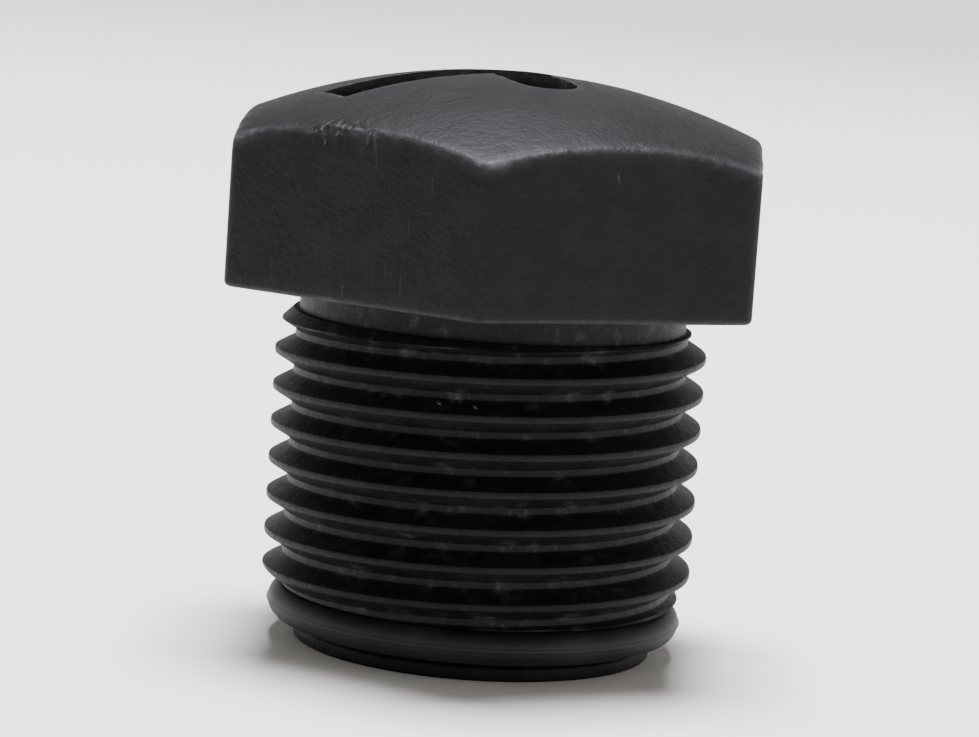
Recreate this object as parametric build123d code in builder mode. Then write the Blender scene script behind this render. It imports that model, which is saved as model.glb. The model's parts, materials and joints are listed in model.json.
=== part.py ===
# Screw-in blanking plug for an unused round M12 x 1 connector socket.
# It stands on the tip of its nose, with the hexagon head on top and its axis on +Z.
# All sizes are in millimetres.

import os
from math import cos, pi, radians, sin, tan

from build123d import *

# Heights, from the tip of the nose up
tip_z = 0.0
nose_length = 1.5
thread_length = 7.6
neck_length = 0.8
thread_low_z = tip_z + nose_length
thread_high_z = thread_low_z + thread_length
head_low_z = thread_high_z + neck_length

# Hexagon head with a domed top
across_flats = 14.0
across_corners = across_flats / cos(pi / 6)
head_height = 6.0
dome_radius = 17.5
head_high_z = head_low_z + head_height
head_corner_round = 0.25
head_top_round = 0.25
head_under_round = 0.2

# Driver recess across the dome: a long slot with square ends along a corner-to-corner line,
# with one short arm, round at its end, from the middle towards -Y
slot_width = 1.4
slot_length = 10.4
arm_width = 1.7
arm_reach = 2.9
arm_straight = arm_reach - arm_width / 2
recess_depth = 1.35

# External right-hand M12 x 1 thread with a short relief under the head
pitch = 1.0
crest_radius = 5.93
root_radius = 5.39
neck_radius = 5.32
thread_end_chamfer = 0.45
flank_half_angle = radians(30)
root_flat = 0.24
cutter_overshoot = 0.06
groove_run_out = 0.3

# Nose that carries the sealing ring, with a small bead that keeps the ring on
nose_radius = 4.75
bead_radius = 4.95
bead_height = 0.3
bead_chamfer = 0.12

# Blind bore that clears the contact carrier of the socket
bore_radius = 4.25
bore_depth = 10.5
bore_mouth_chamfer = 0.15

# Sealing ring
ring_section = 1.0
ring_inner_radius = nose_radius
ring_z = thread_low_z - ring_section / 2

os.makedirs("parts", exist_ok=True)


# Plane through the axis that the shank is turned from, well away from where the groove starts
turning_angle = radians(200)
turning_plane = Plane(
    origin=(0, 0, 0),
    x_dir=(cos(turning_angle), sin(turning_angle), 0),
    z_dir=(sin(turning_angle), -cos(turning_angle), 0),
)


# Body: one moulding of head, neck, threaded shank and nose
def groove_half_width(radius):
    return root_flat / 2 + (radius - root_radius) * tan(flank_half_angle)


with BuildPart() as plug_body:
    with BuildSketch(Plane.XY.offset(head_low_z)):
        RegularPolygon(radius=across_corners / 2, side_count=6)
    extrude(amount=head_height)
    fillet(plug_body.edges().filter_by(Axis.Z), radius=head_corner_round)
    with Locations((0, 0, head_high_z - dome_radius)):
        Sphere(radius=dome_radius, mode=Mode.INTERSECT)
    top_rim = plug_body.faces().sort_by(Axis.Z)[-1].edges()
    fillet(top_rim, radius=head_top_round)
    fillet(plug_body.faces().sort_by(Axis.Z)[0].edges(), radius=head_under_round)

    # Driver recess with one flat floor
    with BuildSketch(Plane.XY.offset(head_high_z)):
        Rectangle(slot_length, slot_width)
        with Locations((0, -arm_straight / 2)):
            Rectangle(arm_width, arm_straight)
        with Locations((0, -arm_straight)):
            Circle(arm_width / 2)
    extrude(amount=-recess_depth, mode=Mode.SUBTRACT)

    # Neck, threaded shank and nose as one turned outline
    with BuildSketch(turning_plane):
        with BuildLine():
            Polyline(
                (0, head_low_z + head_under_round),
                (neck_radius, head_low_z + head_under_round),
                (neck_radius, thread_high_z),
                (crest_radius - thread_end_chamfer, thread_high_z),
                (crest_radius, thread_high_z - thread_end_chamfer),
                (crest_radius, thread_low_z + thread_end_chamfer),
                (crest_radius - thread_end_chamfer, thread_low_z),
                (nose_radius, thread_low_z),
                (nose_radius, tip_z + bead_height + bead_chamfer),
                (bead_radius, tip_z + bead_height),
                (bead_radius, tip_z + bead_chamfer),
                (bead_radius - bead_chamfer, tip_z),
                (0, tip_z),
                close=True,
            )
        make_face()
    revolve(axis=Axis.Z)

    # Blind bore from the tip
    with BuildSketch(Plane.XY.offset(tip_z)):
        Circle(bore_radius)
    extrude(amount=bore_depth, mode=Mode.SUBTRACT)
    mouth = plug_body.faces().sort_by(Axis.Z)[0].edges().sort_by(SortBy.RADIUS)[0]
    chamfer(mouth, length=bore_mouth_chamfer)

    # Thread groove: a V with a narrow flat floor, swept along the helix
    groove_start_z = thread_low_z - pitch / 2
    groove_height = thread_high_z + groove_run_out - groove_start_z
    cutter_radius = crest_radius + cutter_overshoot
    with BuildLine() as groove_path:
        Helix(pitch, groove_height, root_radius, center=(0, 0, groove_start_z))
    with BuildSketch(Plane(origin=(root_radius, 0, groove_start_z), x_dir=(1, 0, 0), z_dir=(0, 1, 0))):
        with BuildLine():
            Polyline(
                (0, groove_half_width(root_radius)),
                (cutter_radius - root_radius, groove_half_width(cutter_radius)),
                (cutter_radius - root_radius, -groove_half_width(cutter_radius)),
                (0, -groove_half_width(root_radius)),
                close=True,
            )
        make_face()
    sweep(path=groove_path.line, is_frenet=True, mode=Mode.SUBTRACT)
plug_body.part.label = "plug_body"
export_step(plug_body.part, "parts/plug_body.step")


# Sealing ring: round section, seated on the nose against the end of the thread
with BuildPart() as o_ring:
    with BuildSketch(Plane.XZ):
        with Locations((ring_inner_radius + ring_section / 2, ring_z)):
            Circle(ring_section / 2)
    revolve(axis=Axis.Z)
o_ring.part.label = "o_ring"
export_step(o_ring.part, "parts/o_ring.step")
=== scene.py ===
import json
import math

import bmesh
import bpy
from mathutils import Matrix, Vector, noise


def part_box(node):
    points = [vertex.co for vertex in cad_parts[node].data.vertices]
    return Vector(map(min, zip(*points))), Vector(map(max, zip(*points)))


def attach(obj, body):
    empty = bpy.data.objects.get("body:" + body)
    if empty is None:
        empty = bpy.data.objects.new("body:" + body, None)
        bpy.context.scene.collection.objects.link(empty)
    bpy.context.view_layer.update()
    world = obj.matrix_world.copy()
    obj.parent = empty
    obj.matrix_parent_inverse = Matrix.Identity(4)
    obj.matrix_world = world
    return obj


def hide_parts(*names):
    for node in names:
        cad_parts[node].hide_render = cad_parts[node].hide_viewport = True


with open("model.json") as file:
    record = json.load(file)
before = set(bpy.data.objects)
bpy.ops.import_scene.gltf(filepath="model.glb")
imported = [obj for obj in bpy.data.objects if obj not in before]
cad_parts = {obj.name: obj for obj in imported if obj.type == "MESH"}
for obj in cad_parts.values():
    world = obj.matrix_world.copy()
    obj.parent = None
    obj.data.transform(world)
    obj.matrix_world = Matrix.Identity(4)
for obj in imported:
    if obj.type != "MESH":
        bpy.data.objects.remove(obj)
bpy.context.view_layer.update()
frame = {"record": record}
mm = 0.001
weldDistance = 0.001 * mm
degenerateDistance = 0.0005 * mm
sharpAngle = math.radians(38)

# what the fixed frame says about the plug
mounts = {mount["name"]: mount for mount in frame["record"]["mounts"]}
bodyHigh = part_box("plug_body")[1]
ringLow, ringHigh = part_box("o_ring")
flatHalf = bodyHigh.y
headLow = mounts["head_seat"]["pos_m"][2]
threadLow = ringHigh.z
threadLength = mounts["thread_m12x1"]["dims"]["length_mm"] * mm
threadHigh = threadLow + threadLength
crestRadius = mounts["thread_m12x1"]["dims"]["r_mm"] * mm
boreRadius = mounts["carrier_bore"]["dims"]["r_mm"] * mm
slotHalf = mounts["driver_slot"]["dims"]["slot_length_mm"] * mm / 2
recessFloor = mounts["driver_slot"]["pos_m"][2]
print("frame loaded")


class Wire:
    # one output socket; Python sums and products of it add Math nodes
    def __init__(self, tree, socket):
        self.tree = tree
        self.socket = socket

    def maths(self, operation, *values, clamp=False):
        sockets = dict(enumerate((self, *values)))
        return self.tree.add("ShaderNodeMath", {"operation": operation, "use_clamp": clamp}, sockets)

    def __add__(self, other):
        return self.maths("ADD", other)

    def __radd__(self, other):
        return self.maths("ADD", other)

    def __sub__(self, other):
        return self.maths("SUBTRACT", other)

    def __rsub__(self, other):
        return self.maths("MULTIPLY_ADD", -1.0, other)

    def __mul__(self, other):
        return self.maths("MULTIPLY", other)

    def __rmul__(self, other):
        return self.maths("MULTIPLY", other)

    def __truediv__(self, other):
        return self.maths("DIVIDE", other)

    def __pow__(self, other):
        return self.maths("POWER", other)

    def __abs__(self):
        return self.maths("ABSOLUTE")

    def between(self, low, high):
        # 0 at low, 1 at high, eased and held outside
        sockets = {"Value": self, "From Min": low, "From Max": high}
        return self.tree.add("ShaderNodeMapRange", {"interpolation_type": "SMOOTHSTEP"}, sockets)


class Tree:
    def __init__(self, nodeTree):
        self.nodes = nodeTree.nodes
        self.links = nodeTree.links

    def add(self, kind, settings=None, sockets=None, out=0):
        node = self.nodes.new(kind)
        for name, value in (settings or {}).items():
            setattr(node, name, value)
        for place, value in (sockets or {}).items():
            if isinstance(value, Wire):
                self.links.new(value.socket, node.inputs[place])
            else:
                node.inputs[place].default_value = value
        return Wire(self, node.outputs[out])

    def tint(self, factor, first, second):
        # colours go through Mix: its colour sockets are 6 and 7, its colour output 2
        return self.add("ShaderNodeMix", {"data_type": "RGBA"}, {0: factor, 6: first, 7: second}, out=2)

    def noise(self, where, scale, detail=2.0, roughness=0.5):
        sockets = {"Vector": where, "Scale": scale, "Detail": detail, "Roughness": roughness}
        return self.add("ShaderNodeTexNoise", None, sockets)


def newSurface(name):
    material = bpy.data.materials.new(name)
    material.use_nodes = True
    tree = Tree(material.node_tree)
    shader = material.node_tree.nodes["Principled BSDF"]
    where = tree.add("ShaderNodeTexCoord", out="Object")
    return material, tree, shader, where


def stretched(tree, where, scale, turn):
    return tree.add("ShaderNodeMapping", None, {"Vector": where, "Rotation": turn, "Scale": scale})


polyamide = {
    "base": (0.0026, 0.0025, 0.0020, 1),
    "mottle": (0.0056, 0.0054, 0.0047, 1),
    # the pale tint below serves worn edges and scratches, and also a painted highlight along the rim
    "rubbed": (0.085, 0.085, 0.087, 1),
    "dust": (0.16, 0.15, 0.14, 1),
    "torn": (0.15, 0.15, 0.152, 1),
    "lint": (0.62, 0.61, 0.58, 1),
    "grainPerMetre": 11000,
    "pebblePerMetre": 4200,
    "patchesPerMetre": 900,
    "cloudsPerMetre": 260,
    "rubPerMetre": 2600,
    "dustPerMetre": 1700,
    "grainDepth": 0.019 * mm,
    "wanderPerMetre": 2500,
    "wanderReach": 0.12 * mm,
    "reliefStrength": 0.9,
    "dustShown": 0.35,
    "scratchesShown": 0.1,
    "tornShown": 0.7,
    "lintShown": 0.5,
    "indexOfRefraction": 1.22,
}


# each kind of lint: cells a metre along x, y and z, their turn, speck size, and the share left out
lint = [
    ((620, 620, 620), (0.2, 0.1, 0.3), 0.06, 0.88),
    ((1500, 260, 1500), (0.6, 0.4, 0.2), 0.075, 0.945),
    ((1400, 1500, 300), (0.3, 0.5, 1.1), 0.075, 0.945),
    ((280, 1500, 1400), (1.0, 0.2, 0.5), 0.075, 0.95),
]


def makePolyamide():
    material, tree, shader, where = newSurface("moulded_black_polyamide")
    fine = tree.noise(where, polyamide["grainPerMetre"], 3.0, 0.65)
    pebble = tree.noise(where, polyamide["pebblePerMetre"], 3.0, 0.65)
    patches = tree.noise(where, polyamide["patchesPerMetre"], 4.0, 0.6)
    cloudy = tree.noise(where, polyamide["cloudsPerMetre"], 2.0)
    colour = tree.tint(patches.between(0.35, 0.75), polyamide["base"], polyamide["mottle"])
    # handled edges turn greyer, unevenly; along the rim this paler tint is also a painted highlight,
    # brightest where a corner meets the rim
    edge = tree.add("ShaderNodeAttribute", {"attribute_name": "edge"}, out="Fac")
    uneven = tree.noise(where, polyamide["rubPerMetre"], 4.0, 0.7).between(0.42, 0.7)
    rubAndHighlight = edge**2 * (0.4 + 0.6 * uneven)
    colour = tree.tint(rubAndHighlight, colour, polyamide["rubbed"])
    # fine dust stays in the thread and the driver recess
    hollow = tree.add("ShaderNodeAttribute", {"attribute_name": "hollow"}, out="Fac")
    settled = hollow * tree.noise(where, polyamide["dustPerMetre"], 5.0, 0.75).between(0.5, 0.8)
    colour = tree.tint(settled * polyamide["dustShown"], colour, polyamide["dust"])
    # hairline scratches that lie in the surface: upright on the flats, level on the dome
    facing = tree.add("ShaderNodeNewGeometry", out="Normal")
    level = abs(tree.add("ShaderNodeSeparateXYZ", None, {0: facing}, out=2)).between(0.5, 0.8)
    scratches = 0.0
    upright = ((8000, 8000, 620), (0.24, 0.1, 0), 1 - level)
    lying = ((420, 8000, 8000), (0, 0, 0.9), level)
    for scale, turn, shown in (upright, lying):
        line = tree.noise(stretched(tree, where, scale, turn), 1.0, 1.0)
        scratches = line.between(0.7, 0.76) * cloudy.between(0.48, 0.62) * shown + scratches
    colour = tree.tint(scratches * polyamide["scratchesShown"], colour, polyamide["rubbed"])
    # pale torn whiskers where the spanner slipped
    frayed = tree.add("ShaderNodeAttribute", {"attribute_name": "frayed"}, out="Fac")
    whiskers = tree.noise(stretched(tree, where, (6500, 6500, 2200), (0.3, 0.2, 0)), 1.0, 2.0, 0.6)
    torn = (frayed * 1.6).maths("MINIMUM", 1.0) * whiskers.between(0.55, 0.72)
    colour = tree.tint(torn * polyamide["tornShown"], colour, polyamide["torn"])
    # specks and short fibres of lint, few and ragged
    wander = {"Vector": where, "Scale": polyamide["wanderPerMetre"]}
    wander = tree.add("ShaderNodeTexNoise", None, wander, out="Color")
    sockets = {0: wander, "Scale": polyamide["wanderReach"]}
    ragged = tree.add("ShaderNodeVectorMath", {"operation": "SCALE"}, sockets)
    ragged = tree.add("ShaderNodeVectorMath", {"operation": "ADD"}, {0: where, 1: ragged})
    specks = 0.0
    for scale, turn, size, kept in lint:
        sockets = {"Vector": stretched(tree, ragged, scale, turn), "Scale": 1.0}
        cell = tree.add("ShaderNodeTexVoronoi", None, sockets, out="Distance")
        draw = tree.add("ShaderNodeTexVoronoi", None, sockets, out="Color")
        red = tree.add("ShaderNodeSeparateColor", None, {"Color": draw})
        fade = tree.add("ShaderNodeSeparateColor", None, {"Color": draw}, out=1)
        specks = (1 - cell.between(size * 0.4, size)) * red.between(kept, kept + 0.02) * fade + specks
    specksShown = specks.maths("MINIMUM", 1.0) * polyamide["lintShown"]
    colour = tree.tint(specksShown, colour, polyamide["lint"])
    tree.links.new(colour.socket, shader.inputs["Base Color"])
    rough = 0.3 + 0.12 * patches + 0.1 * fine + 0.26 * pebble + settled * 0.2 - rubAndHighlight * 0.05
    tree.links.new(rough.socket, shader.inputs["Roughness"])
    shader.inputs["IOR"].default_value = polyamide["indexOfRefraction"]
    height = fine + 1.6 * pebble + 0.7 * patches - scratches * 0.35 + specks * 0.8 + torn * 2.0
    strength = polyamide["reliefStrength"]
    relief = {"Strength": strength, "Distance": polyamide["grainDepth"], "Height": height}
    bump = tree.add("ShaderNodeBump", None, relief)
    tree.links.new(bump.socket, shader.inputs["Normal"])
    return material


rubber = {
    "base": (0.005, 0.005, 0.0052, 1),
    "bloom": (0.014, 0.0138, 0.0135, 1),
    "bloomPerMetre": 420,
    "poresPerMetre": 9000,
    "grainDepth": 0.006 * mm,
    "reliefStrength": 0.6,
    "indexOfRefraction": 1.33,
}


def makeRubber():
    material, tree, shader, where = newSurface("seal_ring_rubber")
    bloom = tree.noise(where, rubber["bloomPerMetre"], 5.0, 0.65)
    pores = tree.noise(where, rubber["poresPerMetre"], 3.0, 0.6)
    colour = tree.tint(bloom.between(0.4, 0.75), rubber["base"], rubber["bloom"])
    tree.links.new(colour.socket, shader.inputs["Base Color"])
    rough = 0.38 + 0.25 * bloom + 0.08 * pores
    tree.links.new(rough.socket, shader.inputs["Roughness"])
    shader.inputs["IOR"].default_value = rubber["indexOfRefraction"]
    height = pores + 0.8 * bloom
    strength = rubber["reliefStrength"]
    relief = {"Strength": strength, "Distance": rubber["grainDepth"], "Height": height}
    bump = tree.add("ShaderNodeBump", None, relief)
    tree.links.new(bump.socket, shader.inputs["Normal"])
    return material


blackPolyamide = makePolyamide()
blackRubber = makeRubber()
print("materials made")


def newGrowth(name, inputs):
    # a Geometry Nodes tree with named inputs and one geometry output
    group = bpy.data.node_groups.new(name, "GeometryNodeTree")
    group.interface.new_socket("Geometry", in_out="OUTPUT", socket_type="NodeSocketGeometry")
    for label, value in inputs.items():
        kind = "NodeSocketInt" if isinstance(value, int) else "NodeSocketFloat"
        group.interface.new_socket(label, in_out="INPUT", socket_type=kind)
    tree = Tree(group)
    source = group.nodes.new("NodeGroupInput")
    wires = {label: Wire(tree, source.outputs[label]) for label in inputs}
    return group, tree, wires


def finishGrowth(group, tree, shape, material):
    real = tree.add("GeometryNodeRealizeInstances", None, {"Geometry": shape})
    dressed = tree.add("GeometryNodeSetMaterial", None, {"Geometry": real, "Material": material})
    result = group.nodes.new("NodeGroupOutput")
    group.links.new(dressed.socket, result.inputs["Geometry"])


def grownMesh(group, inputs):
    # runs the tree on an empty holder and keeps its result as a plain mesh
    holder = bpy.data.objects.new("holder", bpy.data.meshes.new("holder"))
    bpy.context.scene.collection.objects.link(holder)
    modifier = holder.modifiers.new("grow", "NODES")
    modifier.node_group = group
    for item in group.interface.items_tree:
        if item.in_out == "INPUT":
            modifier[item.identifier] = inputs[item.name]
    evaluated = holder.evaluated_get(bpy.context.evaluated_depsgraph_get())
    mesh = bpy.data.meshes.new_from_object(evaluated)
    bpy.data.objects.remove(holder)
    return mesh


thread = {
    "Pitch": 1.0 * mm,
    "Crest Radius": crestRadius,
    "Root Radius": 5.39 * mm,
    "Low": threadLow,
    "High": threadHigh,
    "End Chamfer": 0.45 * mm,
    "Softness": 0.07 * mm,
    "Columns": 240,
    "Rows Per Turn": 24,
}


def growThread():
    # a sheet is wrapped round the axis and its rows climb one pitch a turn, so they follow the crests
    group, tree, wires = newGrowth("threadRound", thread)
    pitch, low, high = wires["Pitch"], wires["Low"], wires["High"]
    rows = ((high - low) / pitch + 1) * wires["Rows Per Turn"]
    rowCount = rows.maths("CEIL")
    sheet = tree.add(
        "GeometryNodeMeshGrid",
        None,
        {"Size X": 1.0, "Size Y": 1.0, "Vertices X": rowCount + 1, "Vertices Y": wires["Columns"] + 1},
    )
    place = tree.add("GeometryNodeInputPosition")
    along = tree.add("ShaderNodeSeparateXYZ", None, {0: place}, out=0) + 0.5
    around = tree.add("ShaderNodeSeparateXYZ", None, {0: place}, out=1) + 0.5
    climb = low - pitch + along * rowCount / wires["Rows Per Turn"] * pitch + pitch * around
    height = climb.maths("MAXIMUM", low).maths("MINIMUM", high)
    turn = (height - low) / pitch - around
    offCrest = abs((turn + 0.5).maths("FRACT") - 0.5)
    crest, root, soft = wires["Crest Radius"], wires["Root Radius"], wires["Softness"]
    crestFlat = 1 / 12
    flank = crest - (offCrest - crestFlat) * pitch * math.sqrt(3)
    radius = flank.maths("SMOOTH_MIN", crest, soft).maths("SMOOTH_MAX", root, soft)
    room = (height - low).maths("MINIMUM", high - height)
    radius = radius.maths("SMOOTH_MIN", crest - wires["End Chamfer"] + room, soft)
    angle = around * math.tau
    sockets = {0: radius * angle.maths("COSINE"), 1: radius * angle.maths("SINE"), 2: height}
    point = tree.add("ShaderNodeCombineXYZ", None, sockets)
    wrapped = tree.add("GeometryNodeSetPosition", None, {"Geometry": sheet, "Position": point})
    welded = tree.add("GeometryNodeMergeByDistance", None, {"Geometry": wrapped, "Distance": weldDistance})
    finishGrowth(group, tree, welded, blackPolyamide)
    return grownMesh(group, thread)


head = {
    "height": 6.0 * mm,
    "domeRadius": 17.5 * mm,
    "cornerRound": 0.3 * mm,
    "topRound": 0.26 * mm,
    "underRound": 0.16 * mm,
    "seatShare": 0.86,
    "slotHalfWidth": 0.7 * mm,
    "armHalfWidth": 0.85 * mm,
    "armReach": 2.9 * mm,
    "wallWidth": 0.08 * mm,
    "lipHeight": 0.012 * mm,
    "edgeWander": 0.02 * mm,
    "dentDepth": 0.05 * mm,
    "frayDepth": 0.16 * mm,
    "frayPlace": Vector((-6.4, -2.9, 0)) * mm,
    "frayReach": 0.95 * mm,
    "frayLift": 0.03 * mm,
    "wearBand": 0.3 * mm,
    "rubBand": 0.24 * mm,
    "cornerRub": 0.45,
    # how far along the rim from a corner the painted highlight reaches
    "rimCornerReach": 0.7 * mm,
}
apex = headLow + head["height"]


def hexagonRadius(angle):
    # distance from the axis to the rounded hexagon, whose corners are on X and every 60 degrees
    offFlat = abs(angle % math.radians(60) - math.radians(30))
    offCorner = math.radians(30) - offFlat
    round_ = head["cornerRound"]
    centre = (flatHalf - round_) / math.cos(math.radians(30))
    arcEnd = math.atan((flatHalf - round_) * math.tan(math.radians(30)) / flatHalf)
    if offFlat < arcEnd:
        return flatHalf / math.cos(offFlat)
    return centre * math.cos(offCorner) + math.sqrt(round_**2 - (centre * math.sin(offCorner)) ** 2)


def domeHeight(radius):
    return apex - head["domeRadius"] + math.sqrt(head["domeRadius"] ** 2 - radius**2)


def insideRecess(x, y):
    # how far a point is inside the recess, negative outside: the slot, and its arm towards -Y
    slot = min(slotHalf - abs(x), head["slotHalfWidth"] - abs(y))
    armStraight = head["armReach"] - head["armHalfWidth"]
    arm = head["armHalfWidth"] - math.hypot(x, max(-y - armStraight, 0))
    return max(slot, min(arm, -y))


def ripple(x, y, z, perMillimetre, seed=0.0):
    return noise.noise(Vector((x, y, z)) / mm * perMillimetre + Vector((seed, seed, seed)))


def crownHeight(x, y):
    dome = domeHeight(math.hypot(x, y))
    inside = insideRecess(x, y) + head["edgeWander"] * ripple(x, y, 0, 2.6)
    wall = head["wallWidth"]
    cut = min(max(inside / wall + 0.5, 0), 1)
    cut = cut * cut * (3 - 2 * cut)
    lip = head["lipHeight"] * math.exp(-((inside / wall) ** 2)) * (0.6 + ripple(x, y, 0, 1.7, 5.0))
    return dome + (recessFloor - dome) * cut + lip


def gridLines(stops):
    # half of the lines out from the middle, closer where walls and corners fall, then mirrored
    lines = [0.0]
    for end, step in stops:
        count = max(1, round((end - lines[-1] / mm) / step))
        first = lines[-1]
        lines += [first + (end * mm - first) * (i + 1) / count for i in range(count)]
    return [-line for line in reversed(lines[1:])] + lines


crownGrid = {
    "across": [(1.05, 0.033), (2.2, 0.1), (5.08, 0.13), (5.32, 0.02), (5.66, 0.06)],
    "deep": [(0.18, 0.03), (0.58, 0.1), (0.82, 0.02), (1.95, 0.1), (3.05, 0.033), (3.46, 0.1)],
}


def stitch(mesh, first, second):
    count = len(first)
    for i in range(count):
        j = (i + 1) % count
        mesh.faces.new((first[i], first[j], second[j], second[i]))


def knit(mesh, outer, inner):
    # joins two flat rings whose counts differ, always stepping along the one that lags
    def angleOf(vertex):
        return math.atan2(vertex.co.y, vertex.co.x) % math.tau

    rings = [sorted(ring, key=angleOf) for ring in (outer, inner)]
    steps = [0, 0]
    while steps[0] < len(rings[0]) or steps[1] < len(rings[1]):
        ahead = []
        for ring, step in zip(rings, steps):
            lap, place = divmod(step + 1, len(ring))
            ahead.append(angleOf(ring[place]) + lap * math.tau if step < len(ring) else math.inf)
        k = 0 if ahead[0] <= ahead[1] else 1
        here = [ring[step % len(ring)] for ring, step in zip(rings, steps)]
        mesh.faces.new((here[0], rings[k][(steps[k] + 1) % len(rings[k])], here[1]))
        steps[k] += 1


def makeCrown(mesh):
    # the top of the dome as a grid over the driver recess; returns the ring round it
    across = gridLines(crownGrid["across"])
    deep = gridLines(crownGrid["deep"])
    grid = [[mesh.verts.new((x, y, crownHeight(x, y))) for x in across] for y in deep]
    for row, nextRow in zip(grid, grid[1:]):
        for i in range(len(across) - 1):
            mesh.faces.new((row[i], row[i + 1], nextRow[i + 1], nextRow[i]))
    near, far = grid[0], grid[-1]
    right = [row[-1] for row in grid[1:-1]]
    left = [row[0] for row in grid[1:-1]]
    return near + right + far[::-1] + left[::-1]


def makeHead(mesh):
    # rings run from the crown over the rim, down the flats and in under the head
    ring = makeCrown(mesh)
    angles = [math.atan2(v.co.y, v.co.x) for v in ring]
    starts = [math.hypot(v.co.x, v.co.y) for v in ring]
    walls = [hexagonRadius(angle) for angle in angles]
    round_, under = head["topRound"], head["underRound"]

    def rimPoint(wall, share):
        # the rim's arc from the dome's slope, at share 0, to the upright flat, at share 1
        slope = math.asin(wall / head["domeRadius"])
        last = wall - round_ + round_ * math.sin(slope)
        centre = domeHeight(last) - round_ * math.cos(slope)
        tilt = (math.pi / 2 - slope) * (1 - share)
        return wall - round_ + round_ * math.cos(tilt), centre + round_ * math.sin(tilt)

    def ringAt(place):
        points = [place(i) for i in range(len(ring))]
        return [mesh.verts.new((r * math.cos(a), r * math.sin(a), z)) for (r, z), a in zip(points, angles)]

    def nextRing(place):
        nonlocal ring
        fresh = ringAt(place)
        stitch(mesh, ring, fresh)
        ring = fresh

    domeSteps, rimSteps, wallSteps, underSteps = 9, 6, 12, 4
    for k in range(1, domeSteps):
        share = k / domeSteps

        def onDome(i):
            radius = starts[i] + (rimPoint(walls[i], 0)[0] - starts[i]) * share
            return radius, domeHeight(radius)

        nextRing(onDome)
    for k in range(rimSteps + 1):
        nextRing(lambda i: rimPoint(walls[i], k / rimSteps))
    for k in range(1, wallSteps + 1):

        def onWall(i):
            top = rimPoint(walls[i], 1)[1]
            return walls[i], top + (headLow + under - top) * k / wallSteps

        nextRing(onWall)
    for k in range(1, underSteps + 1):
        turn = math.pi / 2 * k / underSteps
        height = headLow + under - under * math.sin(turn)
        nextRing(lambda i: (walls[i] - under + under * math.cos(turn), height))
    nextRing(lambda i: (walls[i] * head["seatShare"], headLow))
    return ring


shank = {
    "neckRadius": 5.32 * mm,
    "neckFillet": 0.12 * mm,
    "noseRadius": -ringLow.x - (ringHigh.z - ringLow.z),
    "noseFillet": 0.06 * mm,
    "beadRadius": 4.95 * mm,
    "beadHeight": 0.3 * mm,
    "boreDepth": 10.5 * mm,
    "mouthChamfer": 0.15 * mm,
    "floorFillet": 0.4 * mm,
    "gateRadius": 0.55 * mm,
    "gateHeight": 0.14 * mm,
}


def arcPoints(centre, radius, start, end, steps=5):
    # points of an arc in the (radius, height) half plane, angles in degrees
    turns = [math.radians(start + (end - start) * i / steps) for i in range(steps + 1)]
    return [(centre[0] + radius * math.cos(t), centre[1] + radius * math.sin(t)) for t in turns]


def neckOutline():
    radius, fillet = shank["neckRadius"], shank["neckFillet"]
    points = [(radius, threadHigh), (radius, threadHigh + fillet), (radius, (threadHigh + headLow) / 2)]
    return points + arcPoints((radius + fillet, headLow - fillet), fillet, 180, 90)


def noseOutline():
    nose, bead, bore = shank["noseRadius"], shank["beadRadius"], boreRadius
    soft = 0.1 * mm
    fillet, floor = shank["floorFillet"], shank["boreDepth"]
    gate, gateLow = shank["gateRadius"], shank["boreDepth"] - shank["gateHeight"]
    mouth = shank["mouthChamfer"]
    beadTop = shank["beadHeight"]
    points = [(nose, threadLow), (nose, threadLow - shank["noseFillet"]), (nose, beadTop + 2 * soft)]
    points += arcPoints((bead - soft, beadTop), soft, 60, 0, 3)
    points += arcPoints((bead - soft, soft), soft, 0, -90)
    points += arcPoints((bore + mouth + soft, soft), soft, -90, -135, 3)
    wall = (mouth + soft, mouth + 3 * soft, floor / 2, floor - 1.5 * fillet)
    points += [(bore, height) for height in wall]
    points += arcPoints((bore - fillet, floor - fillet), fillet, 0, 90)
    points += [(bore - 2 * fillet, floor), (bore / 2, floor), (2 * gate, floor), (1.15 * gate, floor)]
    return points + [(gate, gateLow + soft), (gate - soft / 2, gateLow), (gate / 2, gateLow)]


def openLoops(mesh):
    # the two open rims of the thread, low one first, each in order round the axis
    rim = {vertex for edge in mesh.edges if edge.is_boundary for vertex in edge.verts}
    middle = (threadLow + threadHigh) / 2
    loops = [[v for v in rim if (v.co.z > middle) == upper] for upper in (False, True)]
    return [sorted(loop, key=lambda v: math.atan2(v.co.y, v.co.x) % math.tau) for loop in loops]


def turned(mesh, ring, outline):
    for radius, height in outline:
        fresh = []
        for vertex in ring:
            out = vertex.co.xy.normalized() * radius
            fresh.append(mesh.verts.new((out.x, out.y, height)))
        stitch(mesh, ring, fresh)
        ring = fresh
    return ring


def nearEdge(point):
    # how close a point of the head is to an edge that hands and tools rub, 0 to 1; on the rim the same value
    # also gives a painted highlight
    x, y, z = point
    angle = math.atan2(y, x)
    wall = hexagonRadius(angle)
    radius = min(math.hypot(x, y), wall)
    rim = math.hypot(wall - radius, domeHeight(wall) - min(z, domeHeight(wall)))
    offCorner = (math.radians(30) - abs(angle % math.radians(60) - math.radians(30))) * wall
    corner = math.hypot(offCorner, wall - radius)
    under = math.hypot(wall - radius, z - headLow)
    recess = insideRecess(x, y) if z > domeHeight(radius) - head["wearBand"] else 1.0
    # the underside and the recess are rubbed over a narrower band, and upright corners less
    distances = (rim, corner, under * 1.6, recess * 1.3)
    values = [math.exp(-((distance / head["rubBand"]) ** 2)) for distance in distances]
    values[1] *= head["cornerRub"]
    # the rim gets the most tint where a corner meets it: partly wear, partly a painted highlight where the
    # rounded corner would catch the light
    return 0.6 * max(values) + 0.4 * values[0] * math.exp(-((corner / head["rimCornerReach"]) ** 2))


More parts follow.
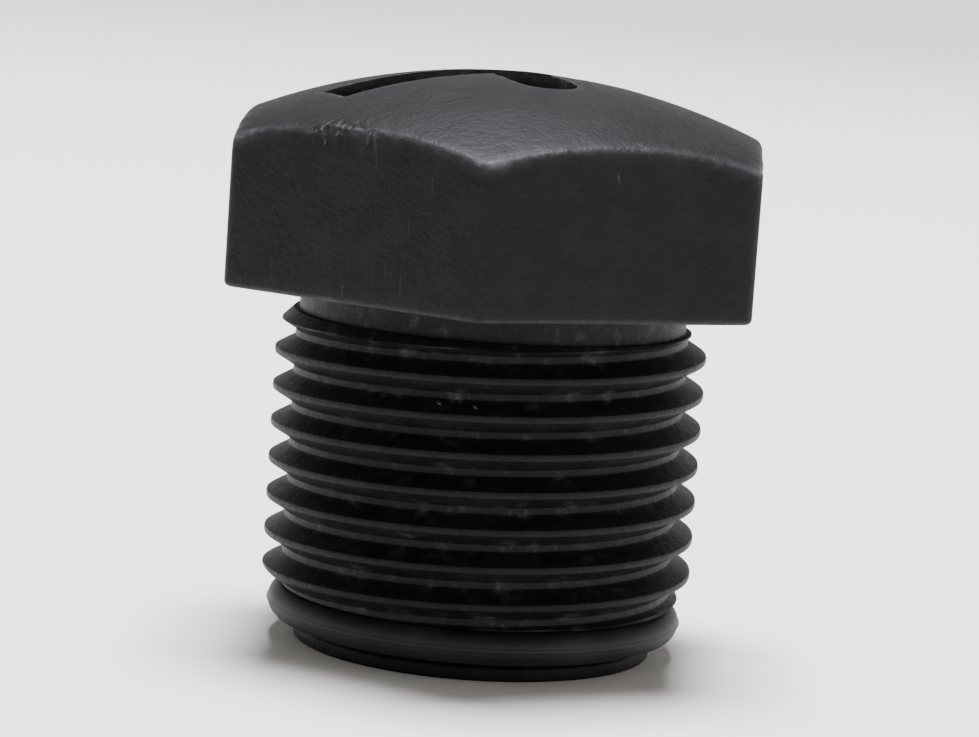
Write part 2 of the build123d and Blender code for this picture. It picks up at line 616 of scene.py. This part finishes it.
def addWear(mesh):
    # small dents along the rim, and the frayed stretch where a spanner slipped
    for vertex in mesh.verts:
        x, y, z = vertex.co
        if z < headLow + head["height"] / 3:  # only the upper part of the head is knocked
            continue
        radius = math.hypot(x, y)
        wall = hexagonRadius(math.atan2(y, x))
        rim = math.hypot(wall - radius, domeHeight(wall) - z)
        close = math.exp(-((rim / head["wearBand"]) ** 2))
        if close < 0.02:
            continue
        dent = head["dentDepth"] * max(ripple(x, y, z, 1.4, 3.0), 0)
        away = (Vector((x, y, 0)) - head["frayPlace"]).length / head["frayReach"]
        fray = head["frayDepth"] * math.exp(-(away**2)) * (0.35 + ripple(x, y, z, 4.5, 9.0))
        inward = Vector((-x / radius, -y / radius, -0.8))
        vertex.co += inward * close * (dent + max(fray, -head["frayLift"]))


def isFrayed(point):
    # the stretch of the rim where the spanner slipped, 0 to 1
    x, y, z = point
    wall = hexagonRadius(math.atan2(y, x))
    rim = math.hypot(wall - math.hypot(x, y), domeHeight(wall) - z)
    away = (Vector((x, y, 0)) - head["frayPlace"]).length / head["frayReach"]
    return math.exp(-(away**2) - (rim / head["wearBand"]) ** 2)


def isHollow(point):
    # dust gathers in the thread's roots and on the recess floor, 0 to 1
    x, y, z = point
    radius = math.hypot(x, y)
    if threadLow < z < headLow and radius > shank["neckRadius"] - 0.01 * mm:
        return min(max((crestRadius - radius) / (crestRadius - thread["Root Radius"]), 0), 1)
    if z > recessFloor - 0.1 * mm:
        return min(max((insideRecess(x, y) - 0.1 * mm) / (0.2 * mm), 0), 1)
    return 0.0


def makePlugBody():
    growth = growThread()
    mesh = bmesh.new()
    mesh.from_mesh(growth)
    low, high = openLoops(mesh)
    neck = turned(mesh, high, neckOutline())
    knit(mesh, makeHead(mesh), neck)
    mesh.faces.new(turned(mesh, low, noseOutline()))
    addWear(mesh)
    bmesh.ops.dissolve_degenerate(mesh, dist=degenerateDistance, edges=mesh.edges)
    bmesh.ops.recalc_face_normals(mesh, faces=mesh.faces)
    shape = bpy.data.meshes.new("plugBody")
    mesh.to_mesh(shape)
    mesh.free()
    shape.materials.clear()
    shape.materials.append(blackPolyamide)
    # the edge values carry both edge wear and the painted rim highlight
    for name, measure in (("edge", nearEdge), ("frayed", isFrayed), ("hollow", isHollow)):
        values = shape.attributes.new(name, "FLOAT", "POINT").data
        for vertex, value in zip(shape.vertices, values):
            onHead = vertex.co.z > headLow - 0.01 * mm or measure is isHollow
            value.value = measure(vertex.co) if onHead else 0.0
    shape.shade_smooth()
    shape.set_sharp_from_angle(angle=sharpAngle)
    piece = bpy.data.objects.new("plugBody", shape)
    bpy.context.scene.collection.objects.link(piece)
    return piece


plugBody = makePlugBody()
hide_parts("plug_body")
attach(plugBody, "root")
print("plug body made")


seal = {
    "Middle Radius": (ringHigh.x + shank["noseRadius"]) / 2,
    "Section Radius": (ringHigh.z - ringLow.z) / 2,
    "Height": (ringHigh.z + ringLow.z) / 2,
    "Flash Height": 0.035 * mm,
    "Flash Width": 0.05 * mm,
    "Columns": 220,
    "Section Columns": 60,
}


def growSeal():
    # a round section carried round a circle, with the mould's flash line inside and outside
    group, tree, wires = newGrowth("sealRound", seal)
    loop = {"Resolution": wires["Columns"], "Radius": wires["Middle Radius"]}
    path = tree.add("GeometryNodeCurvePrimitiveCircle", None, loop)
    radius = wires["Section Radius"] - wires["Flash Height"]
    circle = {"Resolution": wires["Section Columns"], "Radius": radius}
    section = tree.add("GeometryNodeCurvePrimitiveCircle", None, circle)
    place = tree.add("GeometryNodeInputPosition")
    aside = tree.add("ShaderNodeSeparateXYZ", None, {0: place}, out=0)
    aloft = tree.add("ShaderNodeSeparateXYZ", None, {0: place}, out=1)
    ridge = (1 - abs(aloft) / wires["Flash Width"]).maths("MAXIMUM", 0.0)
    offset = tree.add("ShaderNodeCombineXYZ", None, {0: aside.maths("SIGN") * ridge * wires["Flash Height"]})
    flashed = tree.add("GeometryNodeSetPosition", None, {"Geometry": section, "Offset": offset})
    swept = tree.add("GeometryNodeCurveToMesh", None, {"Curve": path, "Profile Curve": flashed})
    lift = tree.add("ShaderNodeCombineXYZ", None, {2: wires["Height"]})
    raised = tree.add("GeometryNodeSetPosition", None, {"Geometry": swept, "Offset": lift})
    finishGrowth(group, tree, raised, blackRubber)
    return grownMesh(group, seal)


def makeSealRing():
    mesh = bmesh.new()
    mesh.from_mesh(growSeal())
    bmesh.ops.recalc_face_normals(mesh, faces=mesh.faces)
    shape = bpy.data.meshes.new("sealRing")
    mesh.to_mesh(shape)
    mesh.free()
    shape.materials.append(blackRubber)
    shape.shade_smooth()
    piece = bpy.data.objects.new("sealRing", shape)
    bpy.context.scene.collection.objects.link(piece)
    return piece


sealRing = makeSealRing()
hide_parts("o_ring")
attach(sealRing, "root")
print("sealing ring made")


studio = {
    "floorRadius": 700 * mm,
    "bendRadius": 260 * mm,
    "floorColour": (0.8, 0.775, 0.73, 1),
    "floorRoughness": 0.75,
    "skyColour": (0.94, 0.92, 0.88, 1),
    "skyStrength": 0.17,
}


# each light's name, place and size in mm, power in watts and colour
lights = [
    ("overhead", (30, 60, 555), (200, 200), 13.5, (0.88, 0.91, 1.0)),
    ("rightFill", (240, -380, 120), (320, 240), 0.3, (1.0, 0.96, 0.9)),
]


def makeFloor():
    # a wide floor that curves up far away, so no horizon shows
    mesh = bmesh.new()
    columns, bendSteps = 96, 16
    bend = studio["bendRadius"]
    flat = studio["floorRadius"] - bend
    outline = [(flat * share, 0) for share in (0.25, 0.5, 0.75, 1)]
    for k in range(1, bendSteps + 1):
        turn = math.pi / 2 * k / bendSteps
        outline.append((flat + bend * math.sin(turn), bend * (1 - math.cos(turn))))
    angles = [math.tau * k / columns for k in range(columns)]
    ring = None
    for radius, height in outline:
        fresh = [mesh.verts.new((radius * math.cos(a), radius * math.sin(a), height)) for a in angles]
        if ring:
            stitch(mesh, ring, fresh)
        else:
            mesh.faces.new(fresh)
        ring = fresh
    bmesh.ops.recalc_face_normals(mesh, faces=mesh.faces)
    bmesh.ops.reverse_faces(mesh, faces=mesh.faces)
    shape = bpy.data.meshes.new("studioFloor")
    mesh.to_mesh(shape)
    mesh.free()
    material, _, shader, _ = newSurface("studio_floor")
    shader.inputs["Base Color"].default_value = studio["floorColour"]
    shader.inputs["Roughness"].default_value = studio["floorRoughness"]
    shape.materials.append(material)
    shape.shade_smooth()
    floor = bpy.data.objects.new("studioFloor", shape)
    bpy.context.scene.collection.objects.link(floor)


def makeLight(name, place, size, power, colour, aim):
    light = bpy.data.lights.new(name, "AREA")
    light.shape = "RECTANGLE"
    light.size, light.size_y = size[0] * mm, size[1] * mm
    light.energy = power
    light.color = colour
    lamp = bpy.data.objects.new(name, light)
    lamp.location = Vector(place) * mm
    lamp.rotation_euler = (aim - lamp.location).to_track_quat("-Z", "Y").to_euler()
    bpy.context.scene.collection.objects.link(lamp)


def makeSky():
    world = bpy.data.worlds.new("studioSky")
    world.use_nodes = True
    background = world.node_tree.nodes["Background"]
    background.inputs["Color"].default_value = studio["skyColour"]
    background.inputs["Strength"].default_value = studio["skyStrength"]
    bpy.context.scene.world = world


view = {
    "cameraAngle": math.radians(-117.2),
    "cameraDistance": 97.0 * mm,
    "cameraHeight": 21.0 * mm,
    "aimHeight": 7.7 * mm,
    "lean": math.radians(4.0),
    "frameWidth": 27.0 * mm,
    "sensorWidth": 36,
    "clipStart": 1 * mm,
    "clipEnd": 10,
}


def makeCamera():
    angle, distance = view["cameraAngle"], view["cameraDistance"]
    place = Vector((distance * math.cos(angle), distance * math.sin(angle), view["cameraHeight"]))
    aim = Vector((0, 0, view["aimHeight"]))
    ahead = (aim - place).normalized()
    levelRight = ahead.cross(Vector((0, 0, 1))).normalized()
    levelUp = levelRight.cross(ahead)
    right = levelRight * math.cos(view["lean"]) + levelUp * math.sin(view["lean"])
    up = right.cross(ahead)
    data = bpy.data.cameras.new("viewCamera")
    data.sensor_width = view["sensorWidth"]
    data.lens = data.sensor_width * (aim - place).length / view["frameWidth"]
    data.clip_start = view["clipStart"]
    data.clip_end = view["clipEnd"]
    camera = bpy.data.objects.new("viewCamera", data)
    turn = Matrix((right, up, -ahead)).transposed()
    camera.matrix_world = Matrix.Translation(place) @ turn.to_4x4()
    bpy.context.scene.collection.objects.link(camera)
    bpy.context.scene.camera = camera


makeFloor()
makeSky()
target = Vector((0, 0, headLow))
for light in lights:
    makeLight(*light, target)
makeCamera()
print("studio made")
